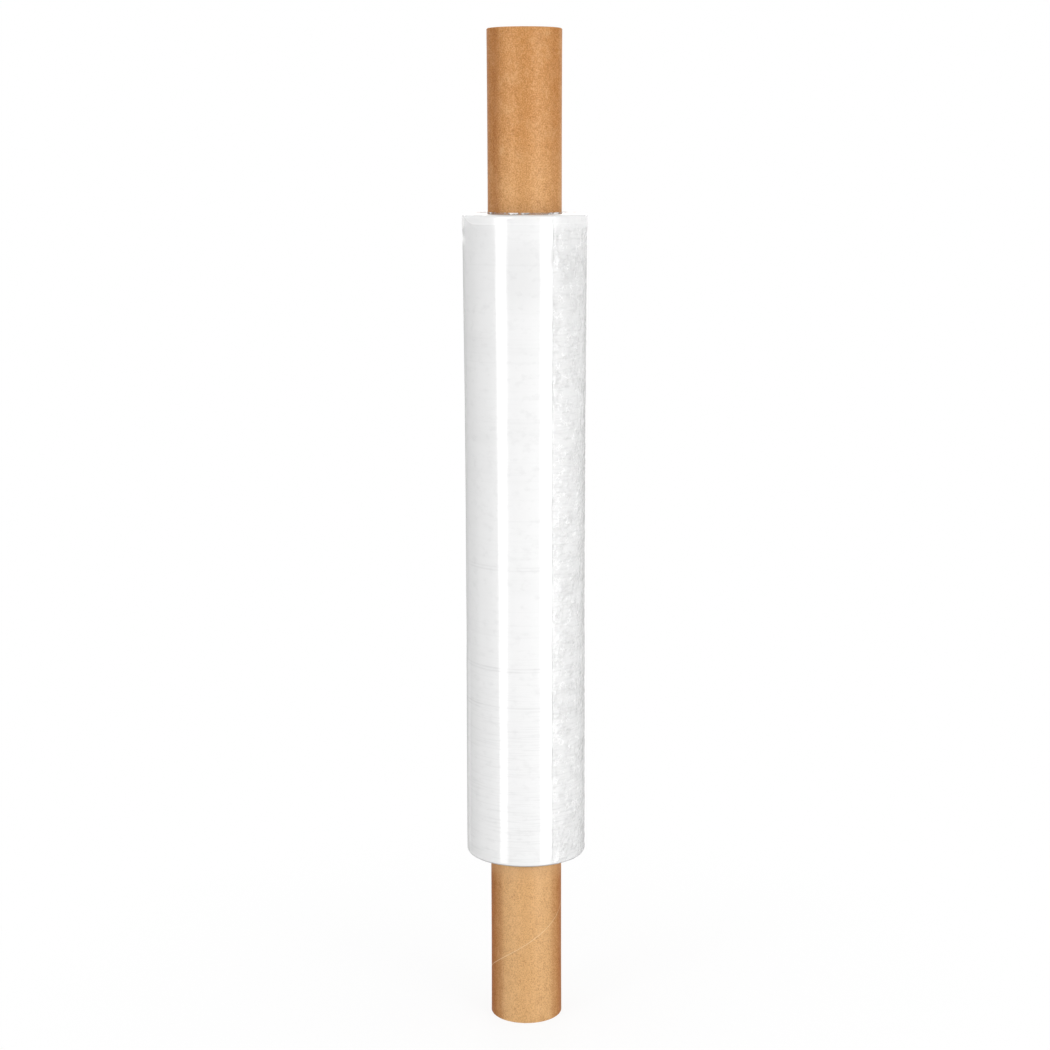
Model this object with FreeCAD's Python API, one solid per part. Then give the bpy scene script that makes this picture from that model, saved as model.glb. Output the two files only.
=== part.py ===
import FreeCAD, Part
import math
import os

# Stretch wrap roll: a web of clear film wound on a spiral paperboard tube, which is longer than
# the film is wide and stands out at both ends as hand grips. Millimetres. The tube stands on its
# lower rim, its axis is Z, the origin is the centre of that rim, and the front faces -Y.

# Paperboard tube
core_bore_diameter = 50.0
core_wall = 3.0
core_rim_rounding = 0.9
grip_length = 137.0

# Wound film: its width, the depth of its turns on the tube, and where the roll is slimmest
film_width = 500.0
winding_depth = 18.3
waist_height = 243.0
lower_swell = 0.45
upper_swell = 1.15

# Upper edge of the winding, a bead that stands proud and rounds over onto the end face
bead_height = 7.0
bead_ramp = 2.5
bead_relief = 0.9
shoulder_rounding = 3.0
lower_edge_rounding = 1.0

# Free end of the web: a ledge up the whole roll, right of the front
tail_azimuth = 26.0
tail_ledge = 0.35

# Bands of uneven gauge round the roll, each a low ridge, by height above the film's lower edge
band_heights = (126.0, 157.0, 236.0, 349.0)
band_width = 5.0
band_relief = 0.15

# End faces: turns that stand up as fine rings, the rise of each face towards the tube, and the
# collar of film that clings to the tube above the upper face
turn_pitch = 3.0
turn_relief = 0.35
upper_rise = 0.8
lower_rise = 0.4
face_margin = 1.2
collar_height = 1.5
collar_thickness = 0.4

# How finely the curved forms are divided, and how deep a joined form is rooted in its carrier
body_levels = 7
rounding_steps = 3
spiral_arcs = 4
root_depth = 1.0

bore_radius = core_bore_diameter / 2
core_radius = bore_radius + core_wall
core_length = film_width + 2 * grip_length
film_bottom = grip_length
film_top = film_bottom + film_width
front_angle = -90.0


def write_step(shape, name):
    """Write one sub-part to its own STEP file."""
    os.makedirs("parts", exist_ok=True)
    shape.exportStep(os.path.join("parts", name + ".step"))


def revolved(points):
    """Solid of revolution about Z from a closed outline of (radius, height) points."""
    outline = [FreeCAD.Vector(radius, 0, height) for radius, height in points]
    face = Part.Face(Part.makePolygon(outline + outline[:1]))
    return face.revolve(FreeCAD.Vector(0, 0, 0), FreeCAD.Vector(0, 0, 1), 360)


def cardboard_core():
    """Paperboard tube with rounded rims."""
    tube = Part.makeCylinder(core_radius, core_length)
    tube = tube.cut(Part.makeCylinder(bore_radius, core_length))
    rims = [edge for edge in tube.Edges if isinstance(edge.Curve, Part.Circle)]
    rounding = min(core_rim_rounding, core_wall / 3)
    return tube.makeFillet(rounding, rims)


def band_bulge(height):
    """How far the bands of uneven gauge stand out at a height above the film's lower edge."""
    reaches = [1 - abs(height - band) * 2 / band_width for band in band_heights]
    return band_relief * max(0, *reaches)


def winding_radius(height):
    """Radius of the winding at a height above the film's lower edge, without bead or ledge."""
    if height <= waist_height:
        swell = lower_swell * (1 - height / waist_height) ** 2
    else:
        swell = upper_swell * ((height - waist_height) / (film_width - waist_height)) ** 2
    return core_radius + winding_depth + swell + band_bulge(height)


def winding_outline():
    """(radius, height) of the winding's outer face, from its lower edge to its upper one."""
    bead_foot = film_width - bead_height
    body_span = bead_foot - bead_ramp - lower_edge_rounding
    heights = {lower_edge_rounding + body_span * level / body_levels for level in range(1, body_levels + 1)}
    for band in band_heights:
        heights |= {band - band_width / 2, band, band + band_width / 2}
    inside = [height for height in sorted(heights) if lower_edge_rounding < height < bead_foot]
    outline = []
    for step in range(rounding_steps + 1):
        angle = math.pi / 2 * (1 - step / rounding_steps)
        inset = lower_edge_rounding * (1 - math.cos(angle))
        level = lower_edge_rounding * (1 - math.sin(angle))
        outline.append((winding_radius(lower_edge_rounding) - inset, level))
    outline += [(winding_radius(height), height) for height in inside]
    bead_radius = winding_radius(bead_foot) + bead_relief
    outline.append((bead_radius, bead_foot))
    for step in range(rounding_steps + 1):
        angle = math.pi / 2 * step / rounding_steps
        inset = shoulder_rounding * (1 - math.cos(angle))
        level = film_width - shoulder_rounding * (1 - math.sin(angle))
        outline.append((bead_radius - inset, level))
    return outline


def turn_wire(radius, height):
    """Outline of the outer turn at one height: a spiral that closes in the ledge of the tail."""
    points = []
    for step in range(2 * spiral_arcs + 1):
        turn = step / (2 * spiral_arcs)
        reach = radius + tail_ledge * (1 - turn)
        angle = math.radians(front_angle + tail_azimuth) + 2 * math.pi * turn
        points.append(FreeCAD.Vector(reach * math.cos(angle), reach * math.sin(angle), height))
    edges = []
    for first in range(0, 2 * spiral_arcs, 2):
        edges.append(Part.Arc(*points[first:first + 3]).toShape())
    edges.append(Part.makeLine(points[-1], points[0]))
    return Part.Wire(edges)


def end_turns(face_height, outward, rise, outer_radius, collar):
    """Rings of film edges on one end face, with a collar round the tube where it has one."""
    inner_radius = core_radius + collar_thickness
    reach = outer_radius - inner_radius
    count = max(1, int(reach / turn_pitch))
    points = [(core_radius, face_height - outward * root_depth)]
    points.append((outer_radius, face_height - outward * root_depth))
    for step in range(2 * count + 1):
        share = step / (2 * count)
        crest = turn_relief * (step % 2)
        points.append((outer_radius - reach * share, face_height + outward * (rise * share + crest)))
    if collar:
        points.append((inner_radius, face_height + outward * (rise + collar)))
        points.append((core_radius, face_height + outward * (rise + collar)))
    else:
        points.append((core_radius, face_height + outward * rise))
    return revolved(points)


def film_roll():
    """The whole web, all its turns in one solid, with the bore that the tube fills."""
    outline = winding_outline()
    wires = [turn_wire(radius, film_bottom + height) for radius, height in outline]
    winding = Part.makeLoft(wires, True, True)
    lower_radius = outline[0][0] - face_margin
    upper_radius = outline[-1][0] - face_margin
    winding = winding.fuse(end_turns(film_bottom, -1, lower_rise, lower_radius, 0))
    winding = winding.fuse(end_turns(film_top, 1, upper_rise, upper_radius, collar_height))
    return winding.cut(Part.makeCylinder(core_radius, core_length))


def main():
    """Build both sub-parts."""
    write_step(cardboard_core(), "cardboard_core")
    write_step(film_roll(), "film_roll")


main()
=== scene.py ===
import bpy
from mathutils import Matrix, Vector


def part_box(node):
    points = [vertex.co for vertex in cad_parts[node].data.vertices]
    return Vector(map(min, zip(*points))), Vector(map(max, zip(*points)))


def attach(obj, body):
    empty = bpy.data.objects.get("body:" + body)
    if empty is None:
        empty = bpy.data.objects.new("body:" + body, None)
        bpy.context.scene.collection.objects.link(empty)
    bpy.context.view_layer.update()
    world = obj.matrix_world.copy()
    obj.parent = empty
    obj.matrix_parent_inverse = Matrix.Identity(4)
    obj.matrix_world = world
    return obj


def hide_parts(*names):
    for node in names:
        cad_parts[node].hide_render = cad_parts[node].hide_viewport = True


bl_info = {
    "name": "Stretch Wrap Roll",
    "version": (1, 0, 0),
    "blender": (4, 5, 0),
    "location": "3D View > Sidebar > Stretch Wrap",
    "description": "Models a roll of clear stretch film on the paperboard tube that it is wound on",
    "category": "Add Mesh",
}

import math
import random

import bpy
from bpy.props import FloatProperty, FloatVectorProperty, PointerProperty

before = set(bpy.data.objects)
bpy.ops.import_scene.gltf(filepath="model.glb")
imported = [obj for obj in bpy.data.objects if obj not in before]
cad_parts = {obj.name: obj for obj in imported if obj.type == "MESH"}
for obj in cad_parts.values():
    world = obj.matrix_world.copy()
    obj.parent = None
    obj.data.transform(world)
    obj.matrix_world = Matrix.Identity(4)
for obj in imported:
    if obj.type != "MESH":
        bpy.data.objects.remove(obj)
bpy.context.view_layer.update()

MM = 0.001
TUBE_NODE = "cardboard_core"
FILM_NODE = "film_roll"
TUBE_LOW, TUBE_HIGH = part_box(TUBE_NODE)
TUBE_RADIUS = (TUBE_HIGH.x - TUBE_LOW.x) / 2
TUBE_LENGTH = TUBE_HIGH.z
FILM_BOTTOM = 137 * MM
FILM_WIDTH = TUBE_LENGTH - 2 * FILM_BOTTOM
BODY = "root"

# Bands of uneven gauge: height above the film's lower edge, and how dark each shows
GAUGE_BANDS = ((126 * MM, 0.9), (157 * MM, 1.0), (236 * MM, 0.5), (349 * MM, 0.25))

# Runs of painted shade on the board, where the tube's sides turn away from the lamps: how far right
# of the axis each lies, how far it reaches from there, and its strength high and low on the tube
SIDE_SHADE_RUNS = (
    (-22 * MM, 6 * MM, 0.55, 0.55), (-28 * MM, 12 * MM, 0.45, 0.95),
    (22.5 * MM, 5 * MM, 0.2, 0.45), (28 * MM, 10 * MM, 0.1, 0.85),
)

# Index of refraction of polyethylene, plain white, and the setting of a ramp without corners
FILM_IOR = 1.51
WHITE = (1.0, 1.0, 1.0)
SMOOTH = {"interpolation_type": "SMOOTHSTEP"}

# Points closer than this are one
WELD = 0.01 * MM

# The camera's place, and how it is turned; the roll leans a hair to the left in the picture
CAMERA_PLACE = (0, -1.5615, 0.6866)
LOOK_DOWN = math.radians(10.436)
LEAN = math.radians(0.13)
ASIDE = math.radians(-0.011)


def linear(hex_colour):
    """Linear red, green and blue of an sRGB hex colour such as #c8a070."""
    channels = [int(hex_colour[start:start + 2], 16) / 255 for start in (1, 3, 5)]
    return tuple(c / 12.92 if c <= 0.04045 else ((c + 0.055) / 1.055) ** 2.4 for c in channels)


def colour(name, hex_colour, description):
    """A colour property that opens at an sRGB hex value."""
    return FloatVectorProperty(
        name=name, description=description, subtype="COLOR", size=3, min=0, max=1,
        default=linear(hex_colour),
    )


def length(name, millimetres, description):
    """A length property that opens at a size in millimetres."""
    return FloatProperty(name=name, description=description, unit="LENGTH", default=millimetres * MM)


def turn(name, degrees, description):
    """An angle property that opens at a size in degrees."""
    angle = math.radians(degrees)
    return FloatProperty(name=name, description=description, unit="ROTATION", default=angle)


def brightness(name, default, description):
    """A brightness property, where 1 is the white of the picture."""
    return FloatProperty(name=name, description=description, default=default)


class TubeSettings(bpy.types.PropertyGroup):
    """Sizes and colours of the paperboard tube."""

    wall: length("Wall", 3.0, "Thickness of the wound board")
    rim_rounding: length("Rim rounding", 0.9, "Radius that the cut rims are worn to")
    rim_flare: length("Rim flare", 0.25, "How far handling has spread the two ends")
    seam_pitch: length("Seam pitch", 119.0, "Rise of the spiral seam in one turn of the tube")
    seam_height: length("Seam height", 66.0, "Height at which the seam crosses the front")
    seam_width: length("Seam width", 0.8, "Width of the pale gap between two turns of the outer ply")
    # The board's own brown; its sides carry painted shade over it, not toning by hands.
    board: colour("Board", "#c98948", "Kraft board in plain light, where hands have toned it")
    # Paler board: painted light low on the tube, and lighter board just above the film.
    clean: colour("Clean board", "#e2b57c", "The same board where it has been handled less")
    # Colour of the painted shade on the tube's sides, where they turn away from the lamps.
    side_shade: colour("Toned board", "#a35a18", "Runs where the board was toned darker")
    fibre_dark: colour("Dark fibre", "#884c1a", "Long fibres and flecks in the board")
    fibre_pale: colour("Pale fibre", "#ddae7c", "Bleached fibres")
    seam: colour("Seam", "#f2d8ae", "Inner ply in the gap of the seam")
    sheen: colour("Sheen", "#ffeed2", "Tint of the gloss, which comes off pale fibres, not varnish")
    # The glue colour is also the colour of the painted shadow under the film on the tube.
    glue_and_shadow: colour("Glue line", "#7d5330", "Glue between the plies, seen on the rims")


class FilmSettings(bpy.types.PropertyGroup):
    """Sizes and colours of the wound film."""

    depth: length("Winding depth", 18.3, "Depth of the turns on the tube at the waist")
    waist: length("Waist height", 243.0, "Height of the slimmest part above the film's lower edge")
    lower_swell: length("Lower swell", 0.45, "How far the lower edge stands out from the waist")
    upper_swell: length("Upper swell", 1.15, "How far the upper edge stands out from the waist")
    bead_height: length("Bead height", 7.0, "Height of the proud edge at the top of the film")
    bead_relief: length("Bead relief", 0.4, "How far that edge stands proud")
    shoulder: length("Shoulder rounding", 3.0, "Radius from the bead onto the upper face")
    lower_rounding: length("Lower rounding", 1.6, "Radius of the lower edge")
    rim_rise: length("Rim rise", 1.3, "How far the outer turns stand above the upper face")
    end_rise: length("Upper rise", 0.8, "Rise of the upper face towards the tube")
    collar: length("Collar height", 1.5, "Height of the film that clings to the tube")
    tail: turn("Tail azimuth", 26.0, "Place of the free edge, right of the front")
    # How far below the rim the painted highlight line lies in front.
    highlight_drop: length("Ply edge", 5.0, "How far below the rim the outermost ply ends at the front")
    ledge: length("Tail ledge", 0.22, "How far the free edge stands off the turn below")
    crinkle: length("Crinkle depth", 0.35, "Depth of the creases in the loose outer ply")
    film: colour("Film", "#f0f0f0", "Many turns of clear film, which look milky")
    # Colour of the painted shade on the lower edge's rounding, which faces down, away from the light.
    lower_edge_shade: colour("Lower edge", "#8c8c8c", "The edge that rests on shelves, rubbed dull and dusty")
    # A grey for tone in the turns and gauge bands, and for painted shade in the loose ply's folds.
    grey_and_fold_shade: colour("Crease", "#bcbcbc", "Shadowed creases with air under them")
    edge: colour("Cut edges", "#f2f2f2", "The turns seen edge on at the ends of the roll")


class StageSettings(bpy.types.PropertyGroup):
    """The floor, the lamps and the camera."""

    floor: colour("Floor", "#ffffff", "Plain floor and backdrop")
    lens: FloatProperty(
        name="Lens", description="Focal length on a 36 mm sensor", default=70.18, unit="CAMERA"
    )
    ambient: brightness("Ambient", 0.5, "Strength of the even light from all round")
    left_glow: brightness("Left glow", 3.5, "Brightness of the left strip lamp")
    right_glow: brightness("Right glow", 2.8, "Brightness of the right strip lamp")
    left_fill: brightness("Left fill", 0.35, "Brightness of the soft lamp far left")
    right_fill: brightness("Right fill", 1.0, "Brightness of the soft lamp far right")
    top_glow: brightness("Top glow", 2.5, "Brightness of the lamp above the roll")
    back_glow: brightness("Back glow", 3.0, "Brightness of the lamp behind the roll")


def deselect():
    """Leave nothing selected, the CAD nodes included."""
    if bpy.context.object and bpy.context.object.mode != "OBJECT":
        bpy.ops.object.mode_set(mode="OBJECT")
    bpy.ops.object.select_all(action="DESELECT")


def apply_modifier(piece, kind, **settings):
    """Give a piece a modifier with these settings, and apply it."""
    modifier = piece.modifiers.new(kind.lower(), kind)
    for name, value in settings.items():
        setattr(modifier, name, value)
    bpy.context.view_layer.objects.active = piece
    bpy.ops.object.modifier_apply(modifier=modifier.name)


def azimuth(point):
    """Degrees from the front (-Y) round to the right of it, from 0 to 360."""
    return math.degrees(math.atan2(point.x, -point.y)) % 360


def lathe(name, outline, start, stretches):
    """Draw an outline of (radius, height) at one azimuth, and spin it right round in stretches.

    A stretch is (degrees, steps), so the turns are fine only where the surface needs it.
    """
    deselect()
    angle = math.radians(start)
    across = (math.sin(angle), -math.cos(angle))
    radius, height = outline[0]
    place = (radius * across[0], radius * across[1], height)
    bpy.ops.mesh.primitive_plane_add(size=MM, location=place)
    piece = bpy.context.object
    piece.name = name
    piece.data.name = name
    bpy.ops.object.mode_set(mode="EDIT")
    bpy.ops.mesh.merge(type="CENTER")
    for (radius, height), (next_radius, next_height) in zip(outline, outline[1:]):
        step = next_radius - radius
        move = (step * across[0], step * across[1], next_height - height)
        bpy.ops.mesh.extrude_region_move(TRANSFORM_OT_translate={"value": move})
    bpy.ops.mesh.select_all(action="SELECT")
    for degrees, steps in stretches:
        # Spin turns clockwise about its axis, so an axis that points down turns to the right.
        bpy.ops.mesh.spin(steps=steps, angle=math.radians(degrees), center=(0, 0, 0), axis=(0, 0, -1))
    bpy.ops.mesh.select_all(action="SELECT")
    bpy.ops.mesh.remove_doubles(threshold=WELD)
    bpy.ops.mesh.normals_make_consistent(inside=False)
    bpy.ops.object.mode_set(mode="OBJECT")
    bpy.ops.object.transform_apply(location=True, rotation=True, scale=True)
    return piece


def finish_piece(piece, node, sharp=35):
    """Smooth a piece's faces up to an angle, and put it in the frame in place of its CAD node."""
    deselect()
    piece.select_set(True)
    bpy.context.view_layer.objects.active = piece
    bpy.ops.object.shade_smooth_by_angle(angle=math.radians(sharp))
    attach(piece, BODY)
    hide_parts(node)


def weigh(piece, name, weight_at, shade_name=None):
    """Fill a vertex group from a function of each point, and an attribute that a material reads."""
    group = piece.vertex_groups.new(name=name)
    weights = [weight_at(vertex.co) for vertex in piece.data.vertices]
    for index, weight in enumerate(weights):
        if weight > 0:
            group.add([index], weight, "REPLACE")
    if shade_name:
        shade = piece.data.attributes.new(shade_name, "FLOAT", "POINT")
        shade.data.foreach_set("value", weights)


def ease(value, low, high):
    """0 below low, 1 above high and a smooth rise between them."""
    share = min(1, max(0, (value - low) / (high - low)))
    return share * share * (3 - 2 * share)


def window(value, low, high, soft):
    """1 between low and high, falling smoothly to 0 over the soft length outside them."""
    return ease(value, low - soft, low) * (1 - ease(value, high, high + soft))


def relief(piece, group, grain, depth, middle=0.5, stretch=None, **settings):
    """Raise a vertex group along its normals by a clouds texture whose grain is a real size.

    stretch draws the texture out along X, Y and Z.
    """
    texture = bpy.data.textures.new(group + "_clouds", "CLOUDS")
    texture.noise_scale = grain
    for name, value in settings.items():
        setattr(texture, name, value)
    place = None
    if stretch:
        deselect()
        bpy.ops.object.empty_add(location=(0, 0, 0))
        place = bpy.context.object
        place.scale = stretch
        bpy.context.view_layer.update()
    apply_modifier(
        piece, "DISPLACE", texture=texture, texture_coords="OBJECT" if stretch else "LOCAL",
        texture_coords_object=place, vertex_group=group, strength=depth, mid_level=middle,
    )
    if place:
        bpy.data.objects.remove(place)
    bpy.data.textures.remove(texture)


def empty_tree(owner):
    """The node tree of a material or a world, with no node in it."""
    owner.use_nodes = True
    owner.node_tree.nodes.clear()
    return owner.node_tree


def new_material(name):
    """An empty node material, as (material, tree)."""
    material = bpy.data.materials.new(name)
    return material, empty_tree(material)


def add(tree, kind, *values, inputs=None, **settings):
    """Add a shader node with its settings, and feed its inputs.

    Values go to the node's open inputs in their order, and inputs holds those that go by name. Each
    is a number, colour or vector, the socket that feeds it, or the node whose first open output does.
    """
    node = tree.nodes.new("ShaderNode" + kind)
    for name, setting in settings.items():
        setattr(node, name, setting)
    fed = list(zip([socket for socket in node.inputs if socket.enabled], values))
    fed += [(node.inputs[name], value) for name, value in (inputs or {}).items()]
    for socket, value in fed:
        if isinstance(value, bpy.types.Node):
            value = next(output for output in value.outputs if output.enabled)
        if isinstance(value, bpy.types.NodeSocket):
            tree.links.new(value, socket)
        else:
            socket.default_value = value
    return node


def opaque(rgb):
    """A property's colour with full alpha, as a colour socket takes it."""
    return (*rgb, 1.0)


def layered(tree, base, layers):
    """A colour with layers of (share, colour) laid over it, one after the other."""
    tone = opaque(base)
    for share, over in layers:
        tone = add(tree, "Mix", share, tone, opaque(over), data_type="RGBA")
    return tone


def flecks(tree, *grains):
    """Share that several grains make up together; each is (noise, low, high, most)."""
    total = 0.0
    for noise, low, high, most in grains:
        share = add(tree, "MapRange", noise, low, high, 0.0, most, **SMOOTH)
        total = add(tree, "Math", total, share, operation="ADD")
    return total


def surface_place(tree):
    """Object coordinates as a vector, and as outputs named X, Y and Z."""
    place = add(tree, "TexCoord").outputs["Object"]
    return place, add(tree, "SeparateXYZ", place).outputs


def way_round(tree, parts):
    """Angle of a point from the front, which grows to the right."""
    forward = add(tree, "Math", parts["Y"], -1.0, operation="MULTIPLY")
    return add(tree, "Math", parts["X"], forward, operation="ARCTAN2")


def from_axis(tree, parts):
    """Distance of a point from the tube's axis."""
    flat = add(tree, "CombineXYZ", parts["X"], parts["Y"])
    return add(tree, "VectorMath", flat, operation="LENGTH")


def away_from(tree, value, middle):
    """How far a value lies from a middle one, on either side."""
    off = add(tree, "Math", value, middle, operation="SUBTRACT")
    return add(tree, "Math", off, operation="ABSOLUTE")


def grain_of(tree, place, size, detail=3.0, roughness=0.55, stretch=(1, 1, 1), distortion=0.0):
    """Noise whose grain is size metres, drawn out by stretch along X, Y and Z."""
    scale = [1 / (size * factor) for factor in stretch]
    mapped = add(tree, "Mapping", inputs={"Vector": place, "Scale": scale})
    return add(tree, "TexNoise", inputs={
        "Vector": mapped, "Scale": 1.0, "Detail": detail, "Roughness": roughness,
        "Distortion": distortion,
    })


def above_seam(tree, parts, sizes):
    """Height of a point above the nearest turn of the spiral seam below it, in metres."""
    rise = sizes.seam_pitch / (2 * math.pi)
    climb = add(tree, "Math", way_round(tree, parts), rise, operation="MULTIPLY")
    above = add(tree, "Math", parts["Z"], sizes.seam_height, operation="SUBTRACT")
    above = add(tree, "Math", above, climb, operation="SUBTRACT")
    return add(tree, "Math", above, sizes.seam_pitch, operation="FLOORED_MODULO")


def side_shade_share(tree, parts, low):
    """How strongly shade is painted into the board, in runs up its sides left and right of the front.
    """
    side_shade = 0.0
    for middle, reach, high_share, low_share in SIDE_SHADE_RUNS:
        near = away_from(tree, parts["X"], middle)
        near = add(tree, "MapRange", near, 0.0, reach, 1.0, 0.0, **SMOOTH)
        share = add(tree, "Math", low, low_share - high_share, high_share, operation="MULTIPLY_ADD")
        run = add(tree, "Math", share, near, operation="MULTIPLY")
        side_shade = add(tree, "Math", side_shade, run, operation="MAXIMUM")
    return side_shade


def kraft_board(sizes):
    """Spirally wound kraft tube board, calendered on the outside and cut with a rolling knife.

    The eye gets a brown of mixed fibres with pale and dark flecks about 1 mm long, a soft broad
    sheen where the calender pressed it, and one fine pale line where the outer ply's edges meet.
    """
    material, tree = new_material("kraft_tube_board")
    place, parts = surface_place(tree)
    height = parts["Z"]
    cloud = grain_of(tree, place, 14 * MM, detail=4.0)
    mottle = grain_of(tree, place, 4 * MM, stretch=(1, 1, 1.5))
    fibre = grain_of(tree, place, 0.9 * MM, detail=2.0, stretch=(1, 1, 1.2))
    streak = grain_of(tree, place, 2.5 * MM, stretch=(1, 1, 20))
    # Painted light makes the board lighter towards the tube's foot; it is lighter just above the film
    # too.
    foot, head = 0.12 * TUBE_LENGTH, 0.85 * TUBE_LENGTH
    low = add(tree, "MapRange", height, foot, head, 1.0, 0.0, **SMOOTH)
    over_film, over_film_end = 0.84 * TUBE_LENGTH, 0.92 * TUBE_LENGTH
    just_over_film = add(tree, "MapRange", height, over_film, over_film_end, 0.35, 0.0, **SMOOTH)
    paler_share = add(tree, "Math", low, 0.8, operation="MULTIPLY")
    paler_share = add(tree, "Math", paler_share, just_over_film, operation="MAXIMUM")
    # Painted shade darkens the board in runs up the tube's sides.
    side_shade = side_shade_share(tree, parts, low)
    dark = flecks(tree, (fibre, 0.35, 0.75, 0.46), (streak, 0.52, 0.75, 0.08), (mottle, 0.5, 0.75, 0.2))
    pale = flecks(tree, (fibre, 0.6, 0.25, 0.5), (cloud, 0.45, 0.75, 0.2), (mottle, 0.5, 0.28, 0.2))
    unshaded = add(tree, "Math", side_shade, 0.8, operation="MULTIPLY")
    unshaded = add(tree, "Math", 1.0, unshaded, operation="SUBTRACT")
    pale = add(tree, "Math", pale, unshaded, operation="MULTIPLY")
    # The outer ply's edges close up towards the top, where the seam hardly shows.
    half = sizes.seam_width / 2
    off_seam = away_from(tree, above_seam(tree, parts, sizes), half)
    gap = add(tree, "MapRange", off_seam, 0.35 * half, half, 1.0, 0.0, **SMOOTH)
    closing = 0.2 * TUBE_LENGTH
    open_seam = add(tree, "MapRange", height, closing, head, 0.65, 0.06, **SMOOTH)
    line = add(tree, "Math", gap, open_seam, operation="MULTIPLY")
    # Under the film the board is paler, and a painted shadow darkens it right under the film's edge.
    below = add(tree, "Math", FILM_BOTTOM, height, operation="SUBTRACT")
    under_film = add(tree, "Math", below, 0.0, operation="GREATER_THAN")
    pale_under_film = add(tree, "MapRange", below, 8 * MM, 26 * MM, 0.4, 0.0, **SMOOTH)
    pale_under_film = add(tree, "Math", pale_under_film, under_film, operation="MULTIPLY")
    # Painted shadow from the film's overhang, darkest just under it.
    painted_shadow_under_film = add(tree, "MapRange", below, 4.5 * MM, 8 * MM, 0.75, 0.0, **SMOOTH)
    painted_shadow_under_film = add(tree, "Math", painted_shadow_under_film, under_film, operation="MULTIPLY")
    tone = layered(tree, sizes.board, (
        (paler_share, sizes.clean), (side_shade, sizes.side_shade), (dark, sizes.fibre_dark),
        (pale, sizes.fibre_pale), (line, sizes.seam), (pale_under_film, sizes.fibre_pale),
        (painted_shadow_under_film, sizes.glue_and_shadow),
    ))
    # At a grazing look the standing fibres hide the pressed surface, so the gloss fades there.
    facing = add(tree, "LayerWeight", inputs={"Blend": 0.5}).outputs["Facing"]
    rise = add(tree, "Math", fibre, 0.6, operation="MULTIPLY")
    rise = add(tree, "Math", rise, line, operation="SUBTRACT")
    shader = add(tree, "BsdfPrincipled", inputs={
        "Base Color": tone,
        "Roughness": add(tree, "MapRange", fibre, 0.3, 0.7, 0.36, 0.5, **SMOOTH),
        "Specular IOR Level": add(tree, "MapRange", facing, 0.2, 0.55, 0.48, 0.08, **SMOOTH),
        "Specular Tint": opaque(sizes.sheen),
        "Normal": add(tree, "Bump", inputs={"Height": rise, "Strength": 0.35, "Distance": 0.12 * MM}),
    })
    add(tree, "OutputMaterial", inputs={"Surface": shader})
    return material


def cut_board(sizes):
    """The tube's cut rims, where the rolling knife shows the wound plies edge on.

    The eye gets pale torn fibre with darker rings of glue about half a millimetre apart.
    """
    half_ply = 0.25 * MM
    material, tree = new_material("cut_kraft_board")
    place, parts = surface_place(tree)
    wander = add(tree, "Math", grain_of(tree, place, 6 * MM), half_ply, operation="MULTIPLY")
    wander = add(tree, "Math", from_axis(tree, parts), wander, operation="ADD")
    ply = add(tree, "Math", wander, half_ply, operation="PINGPONG")
    glue = add(tree, "MapRange", ply, 0.19 * MM, 0.24 * MM, 0.0, 0.6, **SMOOTH)
    torn = grain_of(tree, place, 0.7 * MM, detail=4.0)
    worn = add(tree, "MapRange", torn, 0.35, 0.7, **SMOOTH)
    shader = add(tree, "BsdfPrincipled", inputs={
        "Base Color": layered(tree, sizes.fibre_pale, ((worn, sizes.board), (glue, sizes.glue_and_shadow))),
        "Roughness": 0.85,
        "Normal": add(tree, "Bump", inputs={"Height": torn, "Strength": 0.6, "Distance": 0.3 * MM}),
    })
    add(tree, "OutputMaterial", inputs={"Surface": shader})
    return material


def gauge_band(tree, place, height, band):
    """How dark a band of uneven gauge is: two soft lines round the roll, broken up here and there."""
    line_offset = 1.2 * MM
    away = away_from(tree, away_from(tree, height, FILM_BOTTOM + band), line_offset)
    line = add(tree, "MapRange", away, 0.0, 1.0 * MM, 1.0, 0.0, **SMOOTH)
    patches = grain_of(tree, place, 25 * MM, detail=2.0, stretch=(1, 1, 0.5))
    broken = add(tree, "MapRange", patches, 0.35, 0.65, 0.05, 0.3, **SMOOTH)
    return add(tree, "Math", line, broken, operation="MULTIPLY")


def turn_shades(tree, place, height, rings, loose):
    """Shares of grey in the wound turns, from fine rings to the bands of uneven gauge."""
    spots = grain_of(tree, place, 7 * MM, stretch=(1, 1, 0.7))
    broad = grain_of(tree, place, 30 * MM, stretch=(6, 6, 1))
    # Low on the roll the turns lie slacker, in fine level wrinkles.
    level = grain_of(tree, place, 1.1 * MM, stretch=(24, 24, 1))
    level = add(tree, "MapRange", level, 0.5, 0.7, **SMOOTH)
    slack_end, tight_start = FILM_BOTTOM + 110 * MM, FILM_BOTTOM + 190 * MM
    low = add(tree, "MapRange", height, slack_end, tight_start, 0.14, 0.0, **SMOOTH)
    shades = [
        add(tree, "MapRange", rings, 0.5, 0.8, 0.0, 0.08, **SMOOTH),
        add(tree, "MapRange", spots, 0.5, 0.75, 0.0, 0.12, **SMOOTH),
        add(tree, "Math", level, low, operation="MULTIPLY"),
    ]
    tight = add(tree, "MapRange", loose, 0.0, 0.5, 1.0, 0.3, **SMOOTH)
    for band, strength in GAUGE_BANDS:
        strength = add(tree, "Math", tight, strength, operation="MULTIPLY")
        shade = add(tree, "Math", gauge_band(tree, place, height, band), strength, operation="MULTIPLY")
        shades.append(shade)
    shades.append(add(tree, "MapRange", broad, 0.5, 0.8, 0.0, 0.1, **SMOOTH))
    return shades


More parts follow.
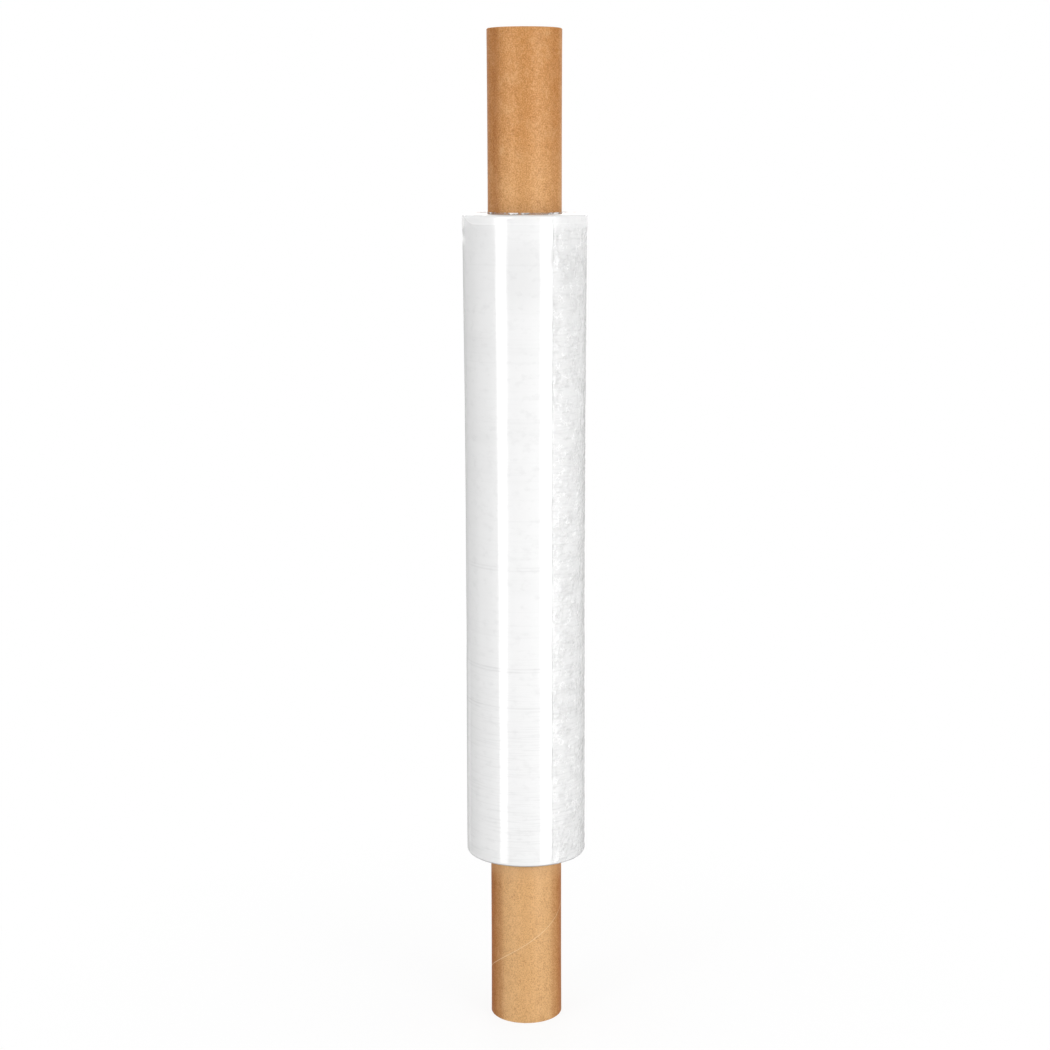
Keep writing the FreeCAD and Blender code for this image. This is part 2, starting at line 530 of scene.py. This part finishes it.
def rim_highlight(tree, place, parts, sizes):
    """Marks near the rim, along a line that curves down from it at the far left, as shares of three
    tones.

    They are a greyer band below the rim in front, a white strip above the line, which paints the
    reflection of light from above in the rounded top, and a bright line along it, a painted highlight.
    Strip and line are plain on the left and faint in front.
    """
    around = way_round(tree, parts)
    far_left, left = math.radians(-80), math.radians(-52)
    short = add(tree, "MapRange", around, far_left, left, -sizes.rim_rise, sizes.highlight_drop, **SMOOTH)
    half_left, front = math.radians(-40), math.radians(-12)
    in_front = add(tree, "MapRange", around, half_left, front, **SMOOTH)
    wavy = add(tree, "Math", grain_of(tree, place, 25 * MM, detail=1.0), 1.2 * MM, operation="MULTIPLY")
    over = add(tree, "Math", parts["Z"], FILM_BOTTOM + FILM_WIDTH, operation="SUBTRACT")
    over = add(tree, "Math", over, short, operation="ADD")
    over = add(tree, "Math", over, wavy, operation="ADD")
    grey_below_rim = add(tree, "MapRange", over, -75 * MM, -45 * MM, **SMOOTH)
    near_rim = add(tree, "MapRange", over, -22 * MM, -8 * MM, 1.0, 0.0, **SMOOTH)
    grey_below_rim = add(tree, "Math", grey_below_rim, near_rim, operation="MULTIPLY")
    grey_below_rim = add(tree, "Math", grey_below_rim, in_front, operation="MULTIPLY")
    grey_below_rim = add(tree, "Math", grey_below_rim, 0.13, operation="MULTIPLY")
    # Painted reflection: the strip above the line is whiter, as the rounded top catches light from
    # above.
    strip = add(tree, "MapRange", over, 0.0, 0.5 * MM, **SMOOTH)
    strip_share = add(tree, "MapRange", in_front, 0.0, 1.0, 0.6, 0.06, **SMOOTH)
    strip = add(tree, "Math", strip, strip_share, operation="MULTIPLY")
    # Painted highlight: a bright line along the curve.
    edge = add(tree, "MapRange", over, -0.5 * MM, 0.0, **SMOOTH)
    edge_end = add(tree, "MapRange", over, 0.3 * MM, 0.9 * MM, 1.0, 0.0, **SMOOTH)
    edge = add(tree, "Math", edge, edge_end, operation="MULTIPLY")
    edge_share = add(tree, "MapRange", in_front, 0.0, 1.0, 1.0, 0.25, **SMOOTH)
    edge = add(tree, "Math", edge, edge_share, operation="MULTIPLY")
    return grey_below_rim, strip, edge


def slack_film(tree, place):
    """Small facets with ridges, puckers, and wrinkles round the roll.

    Gives the share of painted shade in the folds, the share of painted glints along the ridges, and the
    relief.
    """
    swirl = {"Vector": place, "Scale": 1 / (5 * MM), "Detail": 2.0}
    warp = add(tree, "TexNoise", inputs=swirl).outputs["Color"]
    bent = add(tree, "VectorMath", warp, (4 * MM,) * 3, place, operation="MULTIPLY_ADD")
    facets = {"Vector": bent, "Scale": 1 / (3 * MM)}
    cells = add(tree, "TexVoronoi", inputs=facets, feature="F1").outputs
    ridges = add(tree, "TexVoronoi", inputs=facets, feature="DISTANCE_TO_EDGE").outputs["Distance"]
    puckers = grain_of(tree, place, 2.6 * MM, distortion=0.8)
    wrinkles = grain_of(tree, place, 1.8 * MM, detail=2.0, stretch=(7, 7, 1))
    calm = add(tree, "MapRange", grain_of(tree, place, 16 * MM, detail=2.0), 0.4, 0.6, **SMOOTH)
    busy = add(tree, "Math", 1.0, calm, operation="SUBTRACT")

    # Painted shade: each facet a random grey, as if tilted from the light, and grey where puckers and
    # wrinkles rise.
    facet_shade = add(tree, "MapRange", calm, 0.0, 1.0, 0.15, 0.03, **SMOOTH)
    facet = add(tree, "SeparateXYZ", cells["Color"]).outputs["X"]
    fold_shade = add(tree, "Math", facet, facet_shade, operation="MULTIPLY")
    pucker_shade = add(tree, "MapRange", puckers, 0.45, 0.75, 0.0, 0.14, **SMOOTH)
    pucker_shade = add(tree, "Math", pucker_shade, busy, operation="MULTIPLY")
    fold_shade = add(tree, "Math", fold_shade, pucker_shade, operation="ADD")
    wrinkle_shade = add(tree, "MapRange", wrinkles, 0.48, 0.7, 0.1, 0.3, **SMOOTH)
    fold_shade = add(tree, "Math", fold_shade, wrinkle_shade, operation="ADD")

    # Painted glints: white along the facets' ridges, in broken runs.
    painted_glint = add(tree, "MapRange", ridges, 0.02, 0.09, 0.9, 0.0, **SMOOTH)
    broken = add(tree, "MapRange", grain_of(tree, place, 6 * MM, detail=2.0), 0.52, 0.64, **SMOOTH)
    painted_glint = add(tree, "Math", painted_glint, broken, operation="MULTIPLY")

    pucker_depth = add(tree, "MapRange", busy, 0.0, 1.0, 0.3, 0.8, **SMOOTH)
    height = add(tree, "Math", puckers, pucker_depth, operation="MULTIPLY")
    wrinkle_height = add(tree, "Math", wrinkles, 0.5, operation="MULTIPLY")
    height = add(tree, "Math", height, wrinkle_height, operation="ADD")
    cell_depth = add(tree, "MapRange", busy, 0.0, 1.0, 0.3, 1.1, **SMOOTH)
    cell_height = add(tree, "Math", cells["Distance"], cell_depth, operation="MULTIPLY")
    height = add(tree, "Math", height, cell_height, operation="ADD")
    return fold_shade, painted_glint, height


def wound_film(sizes):
    """Cast linear low-density polyethylene film, clear in one ply and milky in many turns.

    The eye gets a white with sharp reflections from the outer ply and a soft glow round them from
    the plies below, faint rings of uneven gauge, a painted reflection and highlight below the rim, and
    in the loose outer ply painted shade in its folds and painted glints.
    """
    material, tree = new_material("wound_stretch_film")
    place, parts = surface_place(tree)
    loose = add(tree, "Attribute", attribute_name="looseness").outputs["Fac"]
    rings = grain_of(tree, place, 2.2 * MM, detail=4.0, stretch=(70, 70, 1))
    grey_below_rim, strip, edge = rim_highlight(tree, place, parts, sizes)
    fold_shade, painted_glint, height = slack_film(tree, place)
    layers = [(shade, sizes.grey_and_fold_shade) for shade in turn_shades(tree, place, parts["Z"], rings, loose)]
    layers += [
        # The greyer band, and the painted reflection and highlight below the rim.
        (grey_below_rim, sizes.grey_and_fold_shade), (strip, WHITE), (edge, WHITE),
        # Painted shade in the loose ply's folds, and painted glints on its ridges.
        (add(tree, "Math", fold_shade, loose, operation="MULTIPLY"), sizes.grey_and_fold_shade),
        (add(tree, "Math", painted_glint, loose, operation="MULTIPLY"), WHITE),
    ]
    height = add(tree, "Math", height, loose, operation="MULTIPLY")
    ring_height = add(tree, "Math", rings, 0.01, operation="MULTIPLY")
    height = add(tree, "Math", height, ring_height, operation="ADD")
    edge_height = add(tree, "Math", edge, -0.12, operation="MULTIPLY")
    height = add(tree, "Math", height, edge_height, operation="ADD")
    lumps = add(tree, "Bump", inputs={"Height": height, "Strength": 1.0, "Distance": 0.55 * MM})
    shader = add(tree, "BsdfPrincipled", inputs={
        "Base Color": layered(tree, sizes.film, layers),
        "Roughness": 0.3,
        "Specular IOR Level": 0.25,
        "IOR": FILM_IOR,
        "Coat Weight": 1.0,
        "Coat Roughness": 0.07,
        "Coat IOR": FILM_IOR,
        "Normal": lumps,
        "Coat Normal": lumps,
    })
    add(tree, "OutputMaterial", inputs={"Surface": shader})
    return material


def film_edges(sizes):
    """The roll's two end faces, where a thousand edges of the same film lie side by side.

    The eye gets a duller grey white than the outer turn's, in fine rings, and painted shade on the
    lower edge.
    """
    material, tree = new_material("stretch_film_edges")
    place, parts = surface_place(tree)
    radius = from_axis(tree, parts)
    rings = {"W": radius, "Scale": 1 / (0.9 * MM), "Detail": 3.0}
    turns = add(tree, "TexNoise", inputs=rings, noise_dimensions="1D").outputs["Fac"]
    cloud = grain_of(tree, place, 9 * MM, detail=2.0)
    dull = flecks(tree, (turns, 0.35, 0.7, 0.3), (cloud, 0.4, 0.7, 0.15))
    edge_foot = FILM_BOTTOM + 0.3 * sizes.lower_rounding
    edge_head = FILM_BOTTOM + sizes.lower_rounding
    # Painted shade on the outer part of the lower edge's rounding.
    shaded_lower_edge = add(tree, "MapRange", parts["Z"], edge_foot, edge_head, 0.9, 0.0, **SMOOTH)
    outside = add(tree, "MapRange", radius, TUBE_RADIUS + 10 * MM, TUBE_RADIUS + 17 * MM, **SMOOTH)
    shaded_lower_edge = add(tree, "Math", shaded_lower_edge, outside, operation="MULTIPLY")
    shader = add(tree, "BsdfPrincipled", inputs={
        "Base Color": layered(tree, sizes.edge, ((dull, sizes.grey_and_fold_shade), (shaded_lower_edge, sizes.lower_edge_shade))),
        "Roughness": 0.3,
        "IOR": FILM_IOR,
        "Normal": add(tree, "Bump", inputs={"Height": turns, "Strength": 0.3, "Distance": 0.2 * MM}),
    })
    add(tree, "OutputMaterial", inputs={"Surface": shader})
    return material


def single_ply(sizes):
    """The same cast film where it is one or two plies thick.

    The eye gets the tube through it, broken by a few painted glints, opaque white patches where it lies
    off the board.
    """
    material, tree = new_material("single_ply_stretch_film")
    place = add(tree, "TexCoord").outputs["Object"]
    ripple = grain_of(tree, place, 8 * MM, detail=2.0)
    shade = add(tree, "MapRange", ripple, 0.62, 0.5, 0.0, 0.5, **SMOOTH)
    shader = add(tree, "BsdfPrincipled", inputs={
        "Base Color": layered(tree, WHITE, ((shade, sizes.grey_and_fold_shade),)),
        "Roughness": 0.08,
        "IOR": FILM_IOR,
        # Painted glints: the film turns opaque and white in patches.
        "Alpha": add(tree, "MapRange", ripple, 0.52, 0.6, 0.15, 1.0, **SMOOTH),
        "Normal": add(tree, "Bump", inputs={"Height": ripple, "Strength": 1.0, "Distance": 0.5 * MM}),
    })
    add(tree, "OutputMaterial", inputs={"Surface": shader})
    return material


def rounded_corner(centre_radius, centre_height, rounding, first, last, steps):
    """Outline points on a quarter circle, from one angle above the horizon to another."""
    points = []
    for step in range(steps + 1):
        angle = math.radians(first + (last - first) * step / steps)
        radius = centre_radius + rounding * math.cos(angle)
        points.append((radius, centre_height + rounding * math.sin(angle)))
    return points


def tube_outline(sizes):
    """Closed outline of the tube's wall, up its outside, over the rim and down its bore."""
    rows = 60
    corner_steps = 5
    flare_reach = 90 * MM
    rounding = sizes.rim_rounding
    inside = TUBE_RADIUS - sizes.wall + rounding
    outside = TUBE_RADIUS + sizes.rim_flare - rounding
    outline = rounded_corner(outside, rounding, rounding, -90, 0, corner_steps)
    for row in range(1, rows):
        height = rounding + (TUBE_LENGTH - 2 * rounding) * row / rows
        end = min(height, TUBE_LENGTH - height)
        flare = sizes.rim_flare * max(0, 1 - end / flare_reach) ** 2
        outline.append((TUBE_RADIUS + flare, height))
    top = TUBE_LENGTH - rounding
    outline += rounded_corner(outside, top, rounding, 0, 90, corner_steps)
    outline += rounded_corner(inside, top, rounding, 90, 180, corner_steps)
    outline += rounded_corner(inside, rounding, rounding, 180, 270, corner_steps)
    return outline + outline[:1]


class WRAP_OT_tube(bpy.types.Operator):
    """Model the spirally wound paperboard tube"""

    bl_idname = "stretch_wrap.tube"
    bl_label = "Paperboard tube"

    def execute(self, context):
        sizes = context.scene.wrap_tube
        steps_round = 180
        rim_steepness = 0.5
        cut_slot = 1
        piece = lathe("paperboard_tube", tube_outline(sizes), 90, [(360, steps_round)])
        for make in (kraft_board, cut_board):
            piece.data.materials.append(make(sizes))
        for face in piece.data.polygons:
            if abs(face.normal.z) > rim_steepness:
                face.material_index = cut_slot
        finish_piece(piece, TUBE_NODE)
        return {"FINISHED"}


def winding_radius(sizes, height):
    """Radius of the winding at a height above the film's lower edge, without bead or ledge."""
    if height <= sizes.waist:
        swell = sizes.lower_swell * (1 - height / sizes.waist) ** 2
    else:
        swell = sizes.upper_swell * ((height - sizes.waist) / (FILM_WIDTH - sizes.waist)) ** 2
    return TUBE_RADIUS + sizes.depth + swell


def film_outline(sizes):
    """Closed outline of the wound film.

    It runs up the outside, in over the upper face to the collar, down the bore that the tube fills,
    and out over the lower face.
    """
    row_height = 1.3 * MM
    ring_width = 0.75 * MM
    ramp_height = 9 * MM
    clinging = 0.4 * MM
    rim_slope = 1.5 * MM
    dice = random.Random(11)
    width = FILM_WIDTH
    foot = width - sizes.bead_height
    lower = winding_radius(sizes, 0) - sizes.lower_rounding
    outline = rounded_corner(lower, sizes.lower_rounding, sizes.lower_rounding, -90, 0, 4)
    wall = foot - ramp_height - sizes.lower_rounding
    rows = int(wall / row_height)
    for row in range(1, rows + 1):
        height = sizes.lower_rounding + wall * row / rows
        outline.append((winding_radius(sizes, height), height))
    bead = winding_radius(sizes, foot) + sizes.bead_relief
    base = winding_radius(sizes, foot - ramp_height)
    for share in (0.15, 0.3, 0.45, 0.6, 0.75, 0.9, 1.0):
        outline.append((base + (bead - base) * ease(share, 0, 1), foot - ramp_height * (1 - share)))
    rim = width + sizes.rim_rise
    straight = rim - sizes.shoulder - foot
    for share in (0.33, 0.66):
        outline.append((bead, foot + straight * share))
    outline += rounded_corner(bead - sizes.shoulder, rim - sizes.shoulder, sizes.shoulder, 0, 90, 7)
    inner = TUBE_RADIUS + clinging
    start = bead - sizes.shoulder - rim_slope
    inside_rim = width + 0.4 * MM
    face = width + sizes.end_rise
    outline.append((start, inside_rim))
    rings = int((start - inner) / ring_width)
    for ring in range(1, 2 * rings + 1):
        share = ring / (2 * rings)
        crest = dice.uniform(0.02, 0.1) * MM * (ring % 2)
        height = inside_rim + (face - inside_rim) * share + crest
        outline.append((start + (inner - start) * share, height))
    for share in (0.35, 0.7, 1.0):
        outline.append((inner - clinging * 0.3 * share, face + sizes.collar * share))
    outline.append((TUBE_RADIUS + 0.05 * MM, face + sizes.collar))
    outline.append((TUBE_RADIUS, face))
    outline.append((TUBE_RADIUS, 0.0))
    for ring in range(2 * rings):
        share = ring / (2 * rings)
        crest = dice.uniform(0.05, 0.25) * MM * (ring % 2)
        outline.append((TUBE_RADIUS + (lower - TUBE_RADIUS) * share, -crest))
    outline = [(radius, FILM_BOTTOM + height) for radius, height in outline]
    return outline + outline[:1]


class WRAP_OT_film(bpy.types.Operator):
    """Model the wound film with its loose, crinkled outer ply"""

    bl_idname = "stretch_wrap.film"
    bl_label = "Wound film"

    def execute(self, context):
        sizes = context.scene.wrap_film
        fold_lift = 0.3 * MM
        # Degrees round the roll: the free edge and its loose ply, and the edge and the reach of the
        # lifted fold. Each of the two edges steps down within one narrow strip.
        tail = math.degrees(sizes.tail)
        ledge_strip = 0.25
        loose_span = 174.0
        fold = 288.0
        fold_strip = 0.6
        fold_reach = 60
        plain_span = fold - fold_strip - (tail + ledge_strip + loose_span)
        last_span = 360 - fold + tail
        piece = lathe("wound_film", film_outline(sizes), tail, [
            (ledge_strip, 1), (loose_span, 116), (plain_span, 18), (fold_strip, 1), (last_span, 22),
        ])
        film_top = TUBE_LENGTH - FILM_BOTTOM
        wall = TUBE_RADIUS + sizes.depth - 1.2 * MM

        def on_wall(point):
            return ease(math.hypot(point.x, point.y), wall - 1.5 * MM, wall)

        def from_ledge(point):
            round_it = (azimuth(point) - tail) % 360
            under_ledge = round_it < ledge_strip / 2 or round_it > 359.99
            return 360 if under_ledge else round_it

        def outer_turn(point):
            return (1 - from_ledge(point) / 360) * on_wall(point)

        def loose_ply(point):
            sides = 1 - ease(from_ledge(point), loose_span - 60, loose_span - 5)
            ends = window(point.z, FILM_BOTTOM + 2 * MM, film_top - 12 * MM, 6 * MM)
            return sides * (0.25 + 0.75 * ends) * on_wall(point)

        def lifted_fold(point):
            side = azimuth(point)
            if side < fold - fold_reach or side > fold - fold_strip / 2:
                return 0
            up = window(point.z, FILM_BOTTOM + 18 * MM, FILM_BOTTOM + 150 * MM, 25 * MM)
            return ease(side, fold - fold_reach, fold - 25) * up * on_wall(point)

        weigh(piece, "outer_turn", outer_turn)
        weigh(piece, "loose_ply", loose_ply, "looseness")
        weigh(piece, "lifted_fold", lifted_fold)
        weigh(piece, "winding", on_wall)
        for group, lift in (("outer_turn", sizes.ledge), ("lifted_fold", fold_lift)):
            apply_modifier(piece, "DISPLACE", vertex_group=group, strength=lift, mid_level=0.0)
        # Slow waves of the whole winding, and rings of uneven gauge round it.
        relief(piece, "winding", 60 * MM, 0.3 * MM, middle=1.0)
        relief(piece, "winding", 3 * MM, 0.05 * MM, stretch=(60, 60, 1))
        # The loose ply: slack bellies, creases between flat cells, and wrinkles that run round.
        relief(piece, "loose_ply", 18 * MM, 0.9 * sizes.crinkle)
        relief(piece, "loose_ply", 8 * MM, 1.6 * sizes.crinkle, middle=0.75, noise_type="HARD_NOISE")
        relief(piece, "loose_ply", 3.2 * MM, 0.5 * sizes.crinkle, stretch=(4, 4, 1))
        piece.vertex_groups.clear()
        for make in (wound_film, single_ply, film_edges):
            piece.data.materials.append(make(sizes))
        ply_slot, edge_slot = 1, 2
        level_face = 0.9
        inside_rim = winding_radius(sizes, FILM_WIDTH) + sizes.bead_relief - sizes.shoulder
        collar_reach = TUBE_RADIUS + 0.6 * MM
        # Faces of the lower rounding take the edge material, which paints shade there.
        shaded_edge_top = FILM_BOTTOM + 0.9 * sizes.lower_rounding
        for face in piece.data.polygons:
            radius = math.hypot(face.center.x, face.center.y)
            height = face.center.z
            if height > film_top + sizes.end_rise and radius < collar_reach:
                face.material_index = ply_slot
            elif abs(face.normal.z) > level_face or radius < inside_rim or height < shaded_edge_top:
                face.material_index = edge_slot
        finish_piece(piece, FILM_NODE)
        return {"FINISHED"}


def lamp(name, side, height, distance, width, tall, glow, target_height):
    """A soft rectangular lamp round the roll from the front, facing the axis."""
    deselect()
    angle = math.radians(side)
    place = (distance * math.sin(angle), -distance * math.cos(angle), height)
    bpy.ops.object.light_add(type="AREA", location=place)
    light = bpy.context.object
    light.name = name
    tilt = math.atan2(height - target_height, distance)
    light.rotation_euler = (math.radians(90) - tilt, 0, angle)
    light.data.shape = "RECTANGLE"
    light.data.size = width
    light.data.size_y = tall
    # A lamp's power spreads over its area and pi, so this gives a face of that brightness.
    light.data.energy = glow * math.pi * width * tall
    light.visible_camera = False
    return light


def seen_share(tree):
    """1 for a ray that shows the surface, straight or in a gloss or through glass, and else 0."""
    path = add(tree, "LightPath").outputs
    seen = add(tree, "Math", path["Is Camera Ray"], path["Is Glossy Ray"], operation="MAXIMUM")
    return add(tree, "Math", seen, path["Is Transmission Ray"], operation="MAXIMUM")


def white_floor(sizes):
    """Plain matt white floor that shows as white to the eye and keeps a faint shadow."""
    material, tree = new_material("plain_white_floor")
    matt = add(tree, "BsdfDiffuse", inputs={"Color": opaque(sizes.floor)})
    glow = add(tree, "Emission", inputs={"Color": opaque(sizes.floor), "Strength": 1.0})
    away = add(tree, "VectorMath", add(tree, "TexCoord").outputs["Object"], operation="LENGTH")
    # The shadow shows near the roll's foot, and further off the floor goes over into the backdrop.
    plain = add(tree, "MapRange", away, 0.06, 0.5, 0.88, 1.0, **SMOOTH)
    seen = add(tree, "Math", seen_share(tree), plain, operation="MULTIPLY")
    mixed = add(tree, "MixShader", seen, matt, glow)
    add(tree, "OutputMaterial", inputs={"Surface": mixed})
    return material


def grey_flat(name, side, distance, width, low, high):
    """A grey board behind the roll that glows evenly and only the gloss shows, so the roll's sides
    stand out.
    """
    deselect()
    angle = math.radians(side)
    place = (distance * math.sin(angle), -distance * math.cos(angle), (low + high) / 2)
    bpy.ops.mesh.primitive_plane_add(size=1, location=place, rotation=(math.radians(90), 0, angle))
    flat = bpy.context.object
    flat.name = name
    flat.scale = (width, high - low, 1)
    material, tree = new_material("even_grey_board")
    grey = add(tree, "Emission", inputs={"Color": opaque(linear("#c2c2c2")), "Strength": 1.0})
    add(tree, "OutputMaterial", inputs={"Surface": grey})
    flat.data.materials.append(material)
    flat.visible_camera = False
    flat.visible_diffuse = False
    flat.visible_shadow = False
    flat.visible_transmission = False


def soft_world(scene, sizes):
    """Even light from all round, with a white backdrop behind it."""
    scene.world = bpy.data.worlds.new("soft_studio")
    tree = empty_tree(scene.world)
    seen, ambient = seen_share(tree), sizes.ambient
    strength = add(tree, "Math", seen, 1 - ambient, ambient, operation="MULTIPLY_ADD")
    sky = add(tree, "Background", inputs={"Color": opaque(sizes.floor), "Strength": strength})
    add(tree, "OutputWorld", inputs={"Surface": sky})


class WRAP_OT_stage(bpy.types.Operator):
    """Make the floor, the lamps and the camera"""

    bl_idname = "stretch_wrap.stage"
    bl_label = "Stage"

    def execute(self, context):
        scene = context.scene
        sizes = scene.wrap_stage
        scene.view_settings.view_transform = "Standard"
        deselect()
        bpy.ops.mesh.primitive_plane_add(size=12, location=(0, 0, 0))
        floor = context.object
        floor.name = "floor"
        floor.data.materials.append(white_floor(sizes))
        # The floor takes the roll's shadow, and hides none of the lamps' light or reflections.
        floor.visible_glossy = False
        floor.visible_shadow = False
        floor.visible_diffuse = False
        soft_world(scene, sizes)
        # Two tall lamps left and right of the front, as matt surfaces take their light. Each row has
        # its degrees right of the front, width and brightness.
        for name, side, width, glow in (
            ("soft_left", -43.2, 0.25, sizes.left_glow),
            ("soft_right", 41.2, 0.47, sizes.right_glow),
        ):
            soft = lamp(name, side, 0.36, 1.0, width, 1.36, glow, 0.36)
            soft.visible_glossy = False
        # The same two lamps as the gloss shows them. The left one leans in, so it is wider higher
        # up, and the upper pair shows in the rounded shoulder of the film. Each row has its degrees
        # right of the front, height, distance, width, length, brightness and the height it faces.
        for name, side, height, distance, width, tall, glow, target in (
            ("strip_left", -43.4, 0.36, 0.86, 0.3, 1.5, sizes.left_glow, -0.04),
            ("strip_right", 41.2, 0.36, 0.97, 0.456, 1.32, sizes.right_glow, 0.36),
            ("upper_left", -43.4, 1.54, 0.8, 0.4, 1.0, sizes.left_glow, 1.54),
            ("upper_right", 41.2, 1.54, 0.97, 0.456, 1.0, sizes.right_glow, 1.54),
        ):
            strip = lamp(name, side, height, distance, width, tall, glow, target)
            strip.visible_diffuse = False
        fills = (("fill_left", -85, sizes.left_fill), ("fill_right", 85, sizes.right_fill))
        for name, side, glow in fills:
            fill = lamp(name, side, 0.4, 1.6, 1.0, 1.0, glow, 0.4)
            fill.visible_glossy = False
        top = lamp("top_light", 0, 2.2, 0.01, 0.8, 0.8, sizes.top_glow, 0.0)
        top.rotation_euler = (0, 0, 0)
        top.visible_glossy = False
        lamp("back_light", 180, 1.3, 1.6, 0.9, 0.9, sizes.back_glow, 0.4)
        for name, side in (("flat_left", -140), ("flat_right", 140)):
            grey_flat(name, side, 1.3, 1.9, -1.6, 0.55)
        rotation = (math.radians(90) - LOOK_DOWN, LEAN, ASIDE)
        bpy.ops.object.camera_add(location=CAMERA_PLACE, rotation=rotation)
        camera = context.object
        camera.name = "camera"
        camera.data.lens = sizes.lens
        camera.data.sensor_width = 36
        camera.data.clip_end = 50
        scene.camera = camera
        return {"FINISHED"}


class WRAP_PT_panel(bpy.types.Panel):
    """Lists the pieces of the roll and their settings"""

    bl_label = "Stretch Wrap"
    bl_space_type = "VIEW_3D"
    bl_region_type = "UI"
    bl_category = "Stretch Wrap"

    def draw(self, context):
        layout = self.layout
        for operator, settings in zip((WRAP_OT_tube, WRAP_OT_film, WRAP_OT_stage), SETTINGS):
            box = layout.box()
            box.operator(operator.bl_idname)
            group = getattr(context.scene, settings)
            for name in group.__annotations__:
                box.prop(group, name)


SETTINGS = {"wrap_tube": TubeSettings, "wrap_film": FilmSettings, "wrap_stage": StageSettings}
CLASSES = (*SETTINGS.values(), WRAP_OT_tube, WRAP_OT_film, WRAP_OT_stage, WRAP_PT_panel)


def register():
    """Add the classes, and their settings to the scene."""
    for cls in CLASSES:
        bpy.utils.register_class(cls)
    for name, group in SETTINGS.items():
        setattr(bpy.types.Scene, name, PointerProperty(type=group))


def unregister():
    """Take the settings and the classes away again."""
    for name in SETTINGS:
        delattr(bpy.types.Scene, name)
    for cls in reversed(CLASSES):
        bpy.utils.unregister_class(cls)


def main():
    """Make the whole roll and its stage."""
    register()
    bpy.ops.stretch_wrap.tube()
    bpy.ops.stretch_wrap.film()
    bpy.ops.stretch_wrap.stage()


if __name__ == "__main__":
    main()
